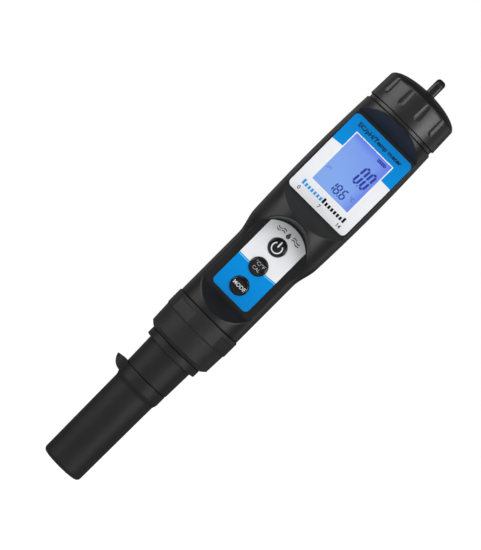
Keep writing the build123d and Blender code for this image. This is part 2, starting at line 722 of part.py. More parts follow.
def make_key(z):
    """A domed round key with its retaining flange and the stem that presses the switch."""
    flange_front_y, flange_back_y = KEY_FLANGE_Y
    with BuildPart() as key:
        with BuildSketch(Plane.XY.offset(z)):
            with BuildLine():
                ThreePointArc((0, KEY_CROWN_Y), KEY_DOME_SPOT, KEY_SHOULDER_SPOT)
                ThreePointArc(KEY_SHOULDER_SPOT, KEY_BROW_SPOT, (KEY_R, KEY_SIDE_Y))
                Polyline(
                    (KEY_R, KEY_SIDE_Y),
                    (KEY_R, flange_front_y),
                    (KEY_FLANGE_R, flange_front_y),
                    (KEY_FLANGE_R, flange_back_y),
                    (KEY_STEM_R, flange_back_y),
                    (KEY_STEM_R, KEY_STEM_END_Y),
                    (0, KEY_STEM_END_Y),
                    (0, KEY_CROWN_Y),
                )
            make_face()
        revolve(axis=Axis((0, 0, z), (0, 1, 0)))
    return key


for key_name, key_z in KEY_Z.items():
    write(make_key(key_z), key_name)

with BuildPart() as keypad_gasket:
    with BuildSketch(front_plane(GASKET_Y[1])):
        with Locations((0, sum(GASKET_Z) / 2)):
            RectangleRounded(GASKET_W, GASKET_Z[1] - GASKET_Z[0], LABEL_CORNER_R)
        with Locations(*[(0, z) for z in KEY_Z.values()]):
            Circle(GASKET_HOLE_R, mode=Mode.SUBTRACT)
    extrude(amount=GASKET_Y[1] - GASKET_Y[0])
write(keypad_gasket, "keypad_gasket")

with BuildPart() as tact_switches:
    with BuildSketch(front_plane(BOARD_Y[0])):
        with Locations(*[(0, z) for z in KEY_Z.values()]):
            RectangleRounded(SWITCH_SIZE, SWITCH_SIZE, SWITCH_ROUND)
    extrude(amount=BOARD_Y[0] - SWITCH_FRONT_Y)
    with BuildSketch(front_plane(SWITCH_FRONT_Y)):
        with Locations(*[(0, z) for z in KEY_Z.values()]):
            Circle(ACTUATOR_R)
    extrude(amount=SWITCH_FRONT_Y - ACTUATOR_FRONT_Y)
write(tact_switches, "tact_switches")

# ---------------------------------------------------------------- electronics and inner frame

screw_spots = [(x, z) for x in (-SCREW_X, SCREW_X) for z in SCREW_Z]

with BuildPart() as main_board:
    with BuildSketch(front_plane(BOARD_Y[1])):
        with Locations((0, sum(BOARD_Z) / 2)):
            RectangleRounded(2 * BOARD_HALF_W, BOARD_Z[1] - BOARD_Z[0], BOARD_ROUND)
        with Locations(*screw_spots):
            Circle(SCREW_SHANK_R, mode=Mode.SUBTRACT)
    extrude(amount=BOARD_Y[1] - BOARD_Y[0])
write(main_board, "main_board")

with BuildPart() as board_components:
    for chip_x, chip_z, chip_w, chip_h in CHIPS:
        with BuildSketch(front_plane(BOARD_Y[0])):
            with Locations((chip_x, chip_z)):
                Rectangle(chip_w, chip_h)
        extrude(amount=CHIP_TALL)
write(board_components, "board_components")

with BuildPart() as board_screws:
    with BuildSketch(front_plane(WEB_BACK_Y)):
        with Locations(*screw_spots):
            Circle(SCREW_SHANK_R)
    extrude(amount=WEB_BACK_Y - BOARD_Y[0])
    with BuildSketch(front_plane(BOARD_Y[0])):
        with Locations(*screw_spots):
            Circle(SCREW_HEAD_R)
    extrude(amount=BOARD_Y[0] - SCREW_HEAD_Y)
write(board_screws, "board_screws")

with BuildPart() as chassis:
    with BuildSketch(front_plane(WEB_BACK_Y)):
        with Locations((0, sum(WEB_Z) / 2)):
            Rectangle(2 * WEB_HALF_W, WEB_Z[1] - WEB_Z[0])
        with Locations(*screw_spots):
            Circle(SCREW_SHANK_R, mode=Mode.SUBTRACT)
    extrude(amount=WEB_BACK_Y - BOARD_Y[1])
    for side in (-1, 1):
        with BuildSketch(front_plane(BOARD_Y[1])):
            with Locations((side * (WEB_HALF_W - RAIL_W / 2), sum(WEB_Z) / 2)):
                Rectangle(RAIL_W, WEB_Z[1] - WEB_Z[0])
        extrude(amount=BOARD_Y[1] - RAIL_FRONT_Y)
    with BuildSketch(Plane.XY.offset(BULKHEAD_Z[0])):
        Circle(BULKHEAD_R)
        with Locations((0, BULKHEAD_FRONT_Y)):
            Rectangle(3 * BULKHEAD_R, 2 * BULKHEAD_R, align=(Align.CENTER, Align.MIN), mode=Mode.INTERSECT)
    extrude(amount=BULKHEAD_Z[1] - BULKHEAD_Z[0])
write(chassis, "chassis")

with BuildPart() as probe_socket:
    with BuildSketch(Plane.XY.offset(SOCKET_FOOT_Z)):
        Circle(SOCKET_R)
    extrude(amount=BULKHEAD_Z[0] - SOCKET_FOOT_Z)
    chamfer(probe_socket.edges().sort_by(Axis.Z)[0], SOCKET_CHAMFER)
    with BuildSketch(Plane.XY.offset(SOCKET_FOOT_Z)):
        with PolarLocations(PIN_RING_R, PIN_COUNT):
            Circle(SOCKET_HOLE_R)
    extrude(amount=SOCKET_HOLE_TOP_Z - SOCKET_FOOT_Z, mode=Mode.SUBTRACT)
write(probe_socket, "probe_socket")

leaf_foot_z = BULKHEAD_Z[1]
with BuildPart() as bay_contacts:
    for leaf_x in (-CELL_X, CELL_X):
        with BuildSketch(Plane.XZ.offset(-CELL_Y)):
            with BuildLine():
                Polyline(
                    (leaf_x - LEAF_REACH, leaf_foot_z),
                    (leaf_x + LEAF_REACH, leaf_foot_z),
                    (leaf_x + LEAF_REACH, leaf_foot_z + LEAF_THICK),
                    (leaf_x + LEAF_BEND, leaf_foot_z + LEAF_THICK),
                    (leaf_x, LEAF_TOP_Z),
                    (leaf_x - LEAF_TIP, LEAF_TOP_Z),
                    (leaf_x - LEAF_REACH, leaf_foot_z + LEAF_THICK),
                    close=True,
                )
            make_face()
        extrude(amount=LEAF_HALF_W, both=True)
write(bay_contacts, "bay_contacts")

# ---------------------------------------------------------------- batteries


def make_cell(x, foot_z, nub_up):
    """A cylindrical dry cell with its raised contact at one end."""
    shell_length = CELL_LENGTH - CELL_NUB_LENGTH
    shell_foot_z = foot_z if nub_up else foot_z + CELL_NUB_LENGTH
    nub_foot_z = foot_z + shell_length if nub_up else foot_z
    with BuildPart() as cell:
        with BuildSketch(Plane.XY.offset(shell_foot_z)):
            with Locations((x, CELL_Y)):
                Circle(CELL_R)
        extrude(amount=shell_length)
        chamfer(cell.edges().filter_by(GeomType.CIRCLE), CELL_CHAMFER)
        with BuildSketch(Plane.XY.offset(nub_foot_z)):
            with Locations((x, CELL_Y)):
                Circle(CELL_NUB_R)
        extrude(amount=CELL_NUB_LENGTH)
    return cell


write(make_cell(-CELL_X, LEFT_FOOT_Z, True), "aaa_cell_1")
write(make_cell(-CELL_X, LEFT_FOOT_Z + CELL_LENGTH, True), "aaa_cell_2")
write(make_cell(CELL_X, RIGHT_FOOT_Z, False), "aaa_cell_3")
write(make_cell(CELL_X, RIGHT_FOOT_Z + CELL_LENGTH, False), "aaa_cell_4")

with BuildPart() as battery_carrier:
    for plate_z in (CARRIER_FOOT_Z, BAY_Z[1]):
        with BuildSketch(Plane.XY.offset(plate_z)):
            Circle(CARRIER_R)
            with Locations((0, CARRIER_FRONT_Y)):
                Rectangle(
                    3 * CARRIER_R, 2 * CARRIER_R, align=(Align.CENTER, Align.MIN), mode=Mode.INTERSECT
                )
        extrude(amount=CARRIER_PLATE)
    with BuildSketch(Plane.XY.offset(BAY_Z[0])):
        with Locations((0, CARRIER_FRONT_Y)):
            Rectangle(2 * RAIL_OUT_X, CARRIER_WEB, align=(Align.CENTER, Align.MIN))
        for side in (-1, 1):
            with Locations((side * (RAIL_IN_X + RAIL_OUT_X) / 2, CARRIER_FRONT_Y)):
                Rectangle(RAIL_OUT_X - RAIL_IN_X, RAIL_DEPTH_Y, align=(Align.CENTER, Align.MIN))
    extrude(amount=BAY_Z[1] - BAY_Z[0])
write(battery_carrier, "battery_carrier")

with BuildPart() as carrier_contacts:
    with BuildSketch(Plane.XY.offset(BAY_Z[0])):
        with Locations((CELL_X, CELL_Y)):
            RectangleRounded(PLATE_SIZE, PLATE_SIZE, PLATE_ROUND)
    extrude(amount=PLATE_THICK)
    with BuildSketch(Plane.XY.offset(BAY_Z[1] - PLATE_THICK)):
        with Locations((-CELL_X, CELL_Y)):
            RectangleRounded(PLATE_SIZE, PLATE_SIZE, PLATE_ROUND)
    extrude(amount=PLATE_THICK)
write(carrier_contacts, "carrier_contacts")


def contact_spring(x, wide_z, narrow_z):
    """The outer shape of a cone-wound contact spring."""
    with BuildPart() as cone:
        with BuildSketch(Plane.XY.offset(wide_z)):
            with Locations((x, CELL_Y)):
                Circle(SPRING_R[0])
        with BuildSketch(Plane.XY.offset(narrow_z)):
            with Locations((x, CELL_Y)):
                Circle(SPRING_R[1])
        loft()
    return cone


with BuildPart() as carrier_springs:
    add(contact_spring(-CELL_X, BAY_Z[0], BAY_Z[0] + SPRING_LENGTH).part)
    add(contact_spring(CELL_X, BAY_Z[1], BAY_Z[1] - SPRING_LENGTH).part)
write(carrier_springs, "carrier_springs")

# ---------------------------------------------------------------- battery cap

with BuildPart() as cap_shell:
    with BuildSketch(Plane.XZ):
        with BuildLine():
            Line((0, BC_FOOT_Z), (BC_FOOT_R - EDGE_BREAK, BC_FOOT_Z))
            Line((BC_FOOT_R - EDGE_BREAK, BC_FOOT_Z), (BC_FOOT_R, BC_FOOT_Z + EDGE_BREAK))
            Line((BC_FOOT_R, BC_FOOT_Z + EDGE_BREAK), (BC_SHOULDER_R, BC_SHOULDER_Z))
            EllipticalCenterArc((0, BC_SHOULDER_Z), BC_SHOULDER_R, BC_DOME_RISE, arc_size=90)
            Line((0, BC_SHOULDER_Z + BC_DOME_RISE), (0, BC_FOOT_Z))
        make_face()
    revolve(axis=Axis.Z)
    with BuildSketch(Plane.XY.offset(FLUTE_FOOT_Z)):
        with PolarLocations(FLUTE_CENTRE_R, FLUTES, start_angle=FLUTE_FIRST_ANGLE):
            Circle(FLUTE_R)
    extrude(amount=EYE_TOP_Z - FLUTE_FOOT_Z, mode=Mode.SUBTRACT)
    with Locations(Plane.XY.offset(FLUTE_FOOT_Z)):
        with PolarLocations(FLUTE_CENTRE_R, FLUTES, start_angle=FLUTE_FIRST_ANGLE):
            Sphere(FLUTE_R, mode=Mode.SUBTRACT)
    with BuildSketch(Plane.XY.offset(BC_FOOT_Z)):
        Circle(BC_BORE_R)
    extrude(amount=BC_LEDGE_Z - BC_FOOT_Z, mode=Mode.SUBTRACT)
    with BuildSketch(Plane.XY.offset(BC_LEDGE_Z)):
        Circle(BC_ROOM_R)
    extrude(amount=BC_ROOF_Z - BC_LEDGE_Z, mode=Mode.SUBTRACT)

eye_side_y = EYE_LENGTH_Y / 2
eye_brow = (eye_side_y - EYE_TAPER, EYE_TOP_Z - EYE_CROWN)
with BuildPart() as lanyard_eye:
    with BuildSketch(Plane.YZ):
        with BuildLine():
            Line((-eye_side_y, EYE_FOOT_Z), (eye_side_y, EYE_FOOT_Z))
            Line((eye_side_y, EYE_FOOT_Z), eye_brow)
            ThreePointArc(eye_brow, (0, EYE_TOP_Z), (-eye_brow[0], eye_brow[1]))
            Line((-eye_brow[0], eye_brow[1]), (-eye_side_y, EYE_FOOT_Z))
        make_face()
    extrude(amount=EYE_W / 2, both=True)
    rim_edges = [e for f in lanyard_eye.faces().filter_by(Axis.X) for e in f.edges()]
    fillet([e for e in rim_edges if e.center().Z > EYE_FOOT_Z + EDGE_BREAK], EYE_ROUND)
    with BuildSketch(Plane.YZ):
        with Locations((0, EYE_HOLE_Z)):
            Circle(EYE_HOLE_R)
    extrude(amount=EYE_W, both=True, mode=Mode.SUBTRACT)

with BuildPart() as battery_cap:
    add(cap_shell.part)
    add(lanyard_eye.part)
write(battery_cap, "battery_cap")

cap_gasket = ring(*GASKET_RING_R, GASKET_RING_Z)
write(cap_gasket, "cap_gasket")
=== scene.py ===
"""Looks of the water-test pen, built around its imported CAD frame. Metres, +Z up the pen."""

import json
import math

import bmesh
import bpy
from mathutils import Matrix, Vector
from mathutils.bvhtree import BVHTree

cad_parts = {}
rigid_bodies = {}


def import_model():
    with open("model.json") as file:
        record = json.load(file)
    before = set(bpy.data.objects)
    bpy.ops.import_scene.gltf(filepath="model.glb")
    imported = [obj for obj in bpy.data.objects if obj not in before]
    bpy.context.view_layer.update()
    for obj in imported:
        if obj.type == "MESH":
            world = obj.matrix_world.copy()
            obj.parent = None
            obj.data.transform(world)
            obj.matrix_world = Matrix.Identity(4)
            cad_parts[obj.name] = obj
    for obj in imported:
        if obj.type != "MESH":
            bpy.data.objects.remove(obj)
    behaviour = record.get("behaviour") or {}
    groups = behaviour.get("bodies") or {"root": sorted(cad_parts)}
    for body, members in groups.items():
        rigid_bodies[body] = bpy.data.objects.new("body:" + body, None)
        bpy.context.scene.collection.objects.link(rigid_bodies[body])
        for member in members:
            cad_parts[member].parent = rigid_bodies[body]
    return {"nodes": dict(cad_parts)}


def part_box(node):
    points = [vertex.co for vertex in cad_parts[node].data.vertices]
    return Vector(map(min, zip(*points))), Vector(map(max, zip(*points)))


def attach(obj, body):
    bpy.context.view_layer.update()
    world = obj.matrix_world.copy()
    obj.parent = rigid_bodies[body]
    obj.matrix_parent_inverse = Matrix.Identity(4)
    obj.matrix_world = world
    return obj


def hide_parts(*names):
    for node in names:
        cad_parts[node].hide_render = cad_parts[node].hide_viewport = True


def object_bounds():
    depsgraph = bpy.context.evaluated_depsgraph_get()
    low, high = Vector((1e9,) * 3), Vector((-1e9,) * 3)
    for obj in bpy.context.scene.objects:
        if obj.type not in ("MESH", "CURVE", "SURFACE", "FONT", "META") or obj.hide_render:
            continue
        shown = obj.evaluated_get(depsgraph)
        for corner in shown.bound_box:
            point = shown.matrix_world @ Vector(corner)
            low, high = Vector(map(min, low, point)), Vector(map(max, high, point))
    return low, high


MM = 0.001

for leftover in list(bpy.data.objects):
    bpy.data.objects.remove(leftover)

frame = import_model()
cad_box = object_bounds()
nodes = frame["nodes"]

# ------------------------------------------------------------------ camera

AIM = Vector((-2.68, 0.0, 104.6)) * MM
CAMERA_AT = Vector((-2.68, -1140.0, 133.0)) * MM
ROLL = math.radians(44.93)
LENS = 187.0
SENSOR_WIDTH = 36.0
CLIP_NEAR, CLIP_FAR = 0.05, 20.0


def add_camera():
    data = bpy.data.cameras.new("camera")
    data.sensor_width = SENSOR_WIDTH
    data.lens = LENS
    data.clip_start = CLIP_NEAR
    data.clip_end = CLIP_FAR
    camera = bpy.data.objects.new("camera", data)
    bpy.context.scene.collection.objects.link(camera)
    forward = (AIM - CAMERA_AT).normalized()
    leaning_up = Vector((-math.sin(ROLL), 0.0, math.cos(ROLL)))
    right = forward.cross(leaning_up).normalized()
    up = right.cross(forward)
    turn = Matrix((right, up, -forward)).transposed()
    camera.matrix_world = Matrix.Translation(CAMERA_AT) @ turn.to_4x4()
    bpy.context.scene.camera = camera


add_camera()

# ------------------------------------------------------------------ node helpers


class Tree:
    """A node tree with short ways to add and join nodes. A plain number is set on the socket itself."""

    def __init__(self, tree):
        self.tree = tree

    def put(self, socket, value):
        if isinstance(value, bpy.types.NodeSocket):
            self.tree.links.new(value, socket)
        else:
            socket.default_value = value

    def node(self, kind, inputs=(), **settings):
        made = self.tree.nodes.new(kind)
        for key, value in settings.items():
            setattr(made, key, value)
        for key, value in dict(inputs).items():
            self.put(made.inputs[key], value)
        return made

    def ramp(self, fac, low, high, to_low=0.0, to_high=1.0, smooth=False):
        kind = "SMOOTHSTEP" if smooth else "LINEAR"
        inputs = {"Value": fac, "From Min": low, "From Max": high, "To Min": to_low, "To Max": to_high}
        return self.node("ShaderNodeMapRange", inputs, interpolation_type=kind).outputs["Result"]

    def math(self, operation, a, b=0.0):
        return self.node("ShaderNodeMath", {0: a, 1: b}, operation=operation).outputs[0]


class Shader(Tree):
    """A material with a Principled shader."""

    MIX_COLOUR_A, MIX_COLOUR_B, MIX_COLOUR_OUT = 6, 7, 2

    def __init__(self, name):
        self.material = bpy.data.materials.new(name)
        self.material.use_nodes = True
        super().__init__(self.material.node_tree)
        self.surface = self.tree.nodes["Principled BSDF"]
        self.coords = self.tree.nodes.new("ShaderNodeTexCoord").outputs["Object"]

    def set(self, **values):
        for key, value in values.items():
            self.put(self.surface.inputs[key.replace("_", " ")], value)

    def noise(self, scale, detail=3.0, rough=0.5, coords=None):
        inputs = {"Vector": coords or self.coords, "Scale": scale, "Detail": detail, "Roughness": rough}
        return self.node("ShaderNodeTexNoise", inputs).outputs["Fac"]

    def mix(self, fac, a, b):
        inputs = {"Factor": fac, self.MIX_COLOUR_A: a, self.MIX_COLOUR_B: b}
        return self.node("ShaderNodeMix", inputs, data_type="RGBA").outputs[self.MIX_COLOUR_OUT]

    def axis(self, letter):
        return self.node("ShaderNodeSeparateXYZ", {"Vector": self.coords}).outputs[letter]

    def stretched(self, x, y, z):
        inputs = {"Vector": self.coords, "Scale": (x, y, z)}
        return self.node("ShaderNodeMapping", inputs).outputs["Vector"]

    def bump(self, height, distance, strength=1.0, normal=None):
        inputs = {"Height": height, "Distance": distance, "Strength": strength}
        if normal:
            inputs["Normal"] = normal
        return self.node("ShaderNodeBump", inputs).outputs["Normal"]

    def soft_edges(self, radius):
        return self.node("ShaderNodeBevel", {"Radius": radius}, samples=6).outputs["Normal"]


def grey(level):
    return (level, level, level, 1.0)


def scaled(colour, factor):
    return tuple(min(1.0, factor * c) for c in colour[:3]) + (1,)


# ------------------------------------------------------------------ materials


SLOPE_NORMAL_Y, SLOPE_NORMAL_Z, SLOPE_OFFSET = -0.5658, 0.8245, 0.12242  # the plane under the display
SLOPE_BAND = (0.00015, 0.00035)
GRAIN_DEPTH = 0.000012


def on_display_slope(shader):
    """1 on the plane under the display, from the panel's foot out to the body's front, and 0 off it."""
    lean = shader.math("MULTIPLY", shader.axis("Y"), SLOPE_NORMAL_Y)
    rise = shader.math("MULTIPLY", shader.axis("Z"), SLOPE_NORMAL_Z)
    off = shader.math("ABSOLUTE", shader.math("SUBTRACT", shader.math("ADD", lean, rise), SLOPE_OFFSET))
    return shader.ramp(off, *SLOPE_BAND, 1.0, 0.0)


def moulded(name, colour, rough, shine=0.42, grain=2600.0, edge=0.00025, matt=None):
    """Spark-textured moulded plastic: a fine grain, faint flow marks and slightly polished edges.
    Where matt(shader) is 1, the finish is rougher."""
    shader = Shader(name)
    fine = shader.noise(grain, 2.0, 0.6)
    coarse = shader.noise(90.0, 3.0)
    flowed = shader.mix(shader.ramp(coarse, 0.3, 0.7), colour, scaled(colour, 1.35))
    finish = shader.ramp(shader.math("ADD", fine, coarse), 0.6, 1.4, rough - 0.05, rough + 0.08)
    if matt:
        finish = shader.math("MULTIPLY", finish, shader.ramp(matt(shader), 0.0, 1.0, 1.0, 1.8))
    shader.set(
        Base_Color=shader.mix(shader.ramp(fine, 0.55, 0.75, 0.0, 0.35), flowed, scaled(colour, 2.2)),
        Roughness=finish,
        Normal=shader.bump(fine, GRAIN_DEPTH, normal=shader.soft_edges(edge)),
        Specular_IOR_Level=shine,
    )
    return shader.material


def printed_film(name, colours):
    """A glossy printed polycarbonate film: a little orange peel, and the grain of the print."""
    shader = Shader(name)
    dots = shader.noise(5200.0, 1.0)
    shader.set(
        Base_Color=shader.mix(shader.ramp(dots, 0.45, 0.75, 0.0, 0.06), colours(shader), grey(0.02)),
        Roughness=shader.ramp(shader.noise(420.0), 0.3, 0.7, 0.18, 0.27),
        Normal=shader.bump(shader.noise(700.0, 2.0), 0.000004),
        Specular_IOR_Level=0.2,
    )
    return shader.material


BLUE = (0.0, 0.26, 0.70, 1)
BLUE_DEEP = (0.0, 0.215, 0.60, 1)
BLUE_PALE = (0.20, 0.62, 0.90, 1)
WHITE = (0.82, 0.83, 0.86, 1)
# the label's silver tint, darkened to stand in for painted shade under the keypad arch
SILVER_AND_ARCH_SHADE = (0.56, 0.58, 0.58, 1)
DISPLAY_ARCH = {"crown_x": 0.0085, "curve": 2.5}
DISPLAY_ARCH_Z = (0.17045, 0.17060)
KEYPAD_ARCH = {"crown_x": -0.006, "curve": -3.7}
KEYPAD_ARCH_Z = (0.11132, 0.11146)
KEYPAD_LINE_Z = 0.11080
KEYPAD_LINE_HALF = (0.00010, 0.00020)


def arch_height(shader, crown_x, curve):
    """Height above an arch: Z plus a parabola across the panel."""
    offset = shader.math("SUBTRACT", shader.axis("X"), crown_x)
    drop = shader.math("MULTIPLY", shader.math("MULTIPLY", offset, offset), curve)
    return shader.math("ADD", shader.axis("Z"), drop)


def display_colours(shader):
    """Blue above and white below, meeting along a shallow arch with its crown to the right."""
    edge = arch_height(shader, **DISPLAY_ARCH)
    blue = shader.mix(shader.ramp(shader.axis("Z"), 0.170, 0.184), BLUE, BLUE_DEEP)
    return shader.mix(shader.ramp(edge, *DISPLAY_ARCH_Z), WHITE, blue)


def keypad_colours(shader):
    """Silver at the arch, fading to white: partly the label's print and partly painted shade under the arch
    wall. Over blue, with a thin pale line under the edge.
    """
    height = shader.axis("Z")
    edge = arch_height(shader, **KEYPAD_ARCH)
    # painted shade: the label greys towards the overhanging arch, on top of its silver print
    silver_and_painted_shade = shader.mix(shader.ramp(height, 0.1235, 0.1325, smooth=True), WHITE, SILVER_AND_ARCH_SHADE)
    blue = shader.mix(shader.ramp(height, 0.095, 0.111), BLUE_DEEP, BLUE)
    off_line = shader.math("ABSOLUTE", shader.math("SUBTRACT", edge, KEYPAD_LINE_Z))
    lined = shader.mix(shader.ramp(off_line, *KEYPAD_LINE_HALF), BLUE_PALE, blue)
    return shader.mix(shader.ramp(edge, *KEYPAD_ARCH_Z), lined, silver_and_painted_shade)


def gloss(name, colour, rough=0.12):
    """Polished plastic with a few smears."""
    shader = Shader(name)
    smear = shader.noise(160.0, 4.0)
    shader.set(
        Base_Color=shader.mix(shader.ramp(smear, 0.3, 0.7), colour, scaled(colour, 1.6)),
        Roughness=shader.ramp(smear, 0.3, 0.7, rough - 0.03, rough + 0.08),
        Normal=shader.bump(shader.noise(900.0, 2.0), 0.000003, normal=shader.soft_edges(0.0002)),
    )
    return shader.material


def ink(name, colour):
    """Printed ink, a little uneven in density."""
    shader = Shader(name)
    patchy = shader.noise(2400.0, 2.0)
    shader.set(
        Base_Color=shader.mix(shader.ramp(patchy, 0.35, 0.65, 0.0, 0.5), colour, scaled(colour, 1.3)),
        Roughness=shader.ramp(patchy, 0.3, 0.7, 0.35, 0.5),
        Specular_IOR_Level=0.12,
    )
    return shader.material


LCD_BASE = (0.02, 0.03, 0.08, 1)
LCD_PALE = (0.235, 0.425, 0.86, 1)
LCD_MID = (0.175, 0.31, 0.84, 1)
LCD_TOP = (0.11, 0.215, 0.86, 1)
LCD_RIGHT = (0.115, 0.19, 0.80, 1)
LCD_CLOUD = (0.23, 0.43, 0.88, 1)
LCD_WEAVE = (0.08, 0.1, 0.5, 1)


def lit_display():
    """The backlit display: violet-blue, deeper along its top and right, with its fine pixel weave."""
    shader = Shader("lit_display")
    diagonal = shader.math("ADD", shader.math("MULTIPLY", shader.axis("X"), 0.75), shader.axis("Z"))
    near_top = shader.ramp(shader.axis("Z"), 0.1738, 0.1768, smooth=True)
    near_right = shader.ramp(shader.axis("X"), 0.0048, 0.0092, 0.0, 0.55, smooth=True)
    weave = shader.node(
        "ShaderNodeTexBrick", {"Vector": shader.coords, "Scale": 3200.0, "Mortar Size": 0.05}
    ).outputs["Fac"]
    glow = shader.mix(shader.ramp(diagonal, 0.152, 0.184, smooth=True), LCD_PALE, LCD_MID)
    glow = shader.mix(near_top, glow, LCD_TOP)
    glow = shader.mix(shader.ramp(shader.noise(60.0), 0.35, 0.7, 0.0, 0.25), glow, LCD_CLOUD)
    glow = shader.mix(near_right, glow, LCD_RIGHT)
    glow = shader.mix(shader.math("MULTIPLY", weave, 0.12), glow, LCD_WEAVE)
    shader.set(Base_Color=LCD_BASE, Roughness=0.35, Emission_Color=glow, Emission_Strength=1.02)
    return shader.material


def display_ink(name, colour):
    """A dark display segment: it holds back the backlight, unevenly at its edges."""
    shader = Shader(name)
    patchy = shader.noise(1800.0, 2.0)
    shader.set(
        Base_Color=grey(0.004),
        Roughness=shader.ramp(patchy, 0.3, 0.7, 0.4, 0.5),
        Emission_Color=shader.mix(shader.ramp(patchy, 0.4, 0.7, 0.0, 0.6), colour, scaled(colour, 1.3)),
        Emission_Strength=1.0,
        Specular_IOR_Level=0.1,
    )
    return shader.material


def clear(name, rough=0.02):
    """Clear plastic or glass."""
    shader = Shader(name)
    shader.set(
        Base_Color=(0.97, 0.98, 1.0, 1),
        Roughness=shader.ramp(shader.noise(300.0), 0.3, 0.8, rough, rough + 0.03),
        Transmission_Weight=1.0,
        IOR=1.45,
    )
    return shader.material


def metal(name, colour, rough=0.25):
    """Metal with fine turned lines."""
    shader = Shader(name)
    lines = shader.noise(1.0, 3.0, coords=shader.stretched(60.0, 60.0, 2500.0))
    shader.set(
        Base_Color=shader.mix(shader.ramp(lines, 0.35, 0.65, 0.0, 0.5), colour, scaled(colour, 0.7)),
        Roughness=shader.ramp(lines, 0.3, 0.7, rough - 0.06, rough + 0.12),
        Normal=shader.bump(lines, 0.000004, normal=shader.soft_edges(0.00012)),
        Metallic=1.0,
    )
    return shader.material


def rubber(name, colour, rough=0.62):
    """Dull and slightly bloomed."""
    shader = Shader(name)
    bloom = shader.noise(300.0, 4.0)
    shader.set(
        Base_Color=shader.mix(shader.ramp(bloom, 0.35, 0.7), colour, scaled(colour, 1.5)),
        Roughness=shader.ramp(bloom, 0.3, 0.7, rough - 0.08, rough + 0.12),
        Normal=shader.bump(shader.noise(4000.0), 0.00001),
    )
    return shader.material


MASK_OVER_FILL = (0.012, 0.14, 0.05, 1)
MASK_OVER_BOARD = (0.004, 0.055, 0.022, 1)
MASK_WORN = (0.01, 0.09, 0.035, 1)


def circuit_board():
    """Green solder mask over copper tracks and ground fill."""
    shader = Shader("circuit_board")
    upright = {"Vector": shader.coords, "Rotation": (math.pi / 2, 0, 0)}
    layout = {
        "Vector": shader.node("ShaderNodeMapping", upright).outputs["Vector"],
        "Scale": 260.0, "Mortar Size": 0.06, "Row Height": 0.22,
    }
    tracks = shader.node("ShaderNodeTexBrick", layout, offset=0.37).outputs["Fac"]
    mask = shader.mix(tracks, MASK_OVER_BOARD, MASK_OVER_FILL)
    shader.set(
        Base_Color=shader.mix(shader.ramp(shader.noise(900.0), 0.4, 0.7, 0.0, 0.3), mask, MASK_WORN),
        Roughness=shader.ramp(tracks, 0.0, 1.0, 0.25, 0.35),
        Normal=shader.bump(tracks, 0.00003),
    )
    return shader.material


CELL_LENGTH = 0.0445
SLEEVE_COPPER = (0.42, 0.17, 0.06, 1)
SLEEVE_BLACK = (0.012, 0.013, 0.016, 1)


def cell_sleeve():
    """A battery's printed sleeve: dark, with a copper-coloured band at one end, and scuffed."""
    shader = Shader("cell_sleeve")
    along = shader.math("FRACT", shader.math("MULTIPLY", shader.axis("Z"), 1 / CELL_LENGTH))
    paint = shader.mix(shader.ramp(along, 0.30, 0.305), SLEEVE_COPPER, SLEEVE_BLACK)
    scuffs = shader.noise(800.0, 4.0, coords=shader.stretched(1.0, 1.0, 0.1))
    shader.set(
        Base_Color=shader.mix(shader.ramp(scuffs, 0.6, 0.75, 0.0, 0.3), paint, grey(0.25)),
        Roughness=shader.ramp(scuffs, 0.3, 0.8, 0.22, 0.45),
        Metallic=0.35,
        Normal=shader.bump(scuffs, 0.000006),
    )
    return shader.material


FOAM_PALE = (0.62, 0.55, 0.35, 1)
FOAM_DARK = (0.20, 0.16, 0.08, 1)


def foam():
    """Open-cell sponge."""
    shader = Shader("foam")
    cells = shader.node("ShaderNodeTexVoronoi", {"Vector": shader.coords, "Scale": 1500.0})
    pores = cells.outputs["Distance"]
    shader.set(
        Base_Color=shader.mix(shader.ramp(pores, 0.2, 0.7), FOAM_PALE, FOAM_DARK),
        Roughness=0.9,
        Normal=shader.bump(pores, 0.0004, 0.8),
    )
    return shader.material


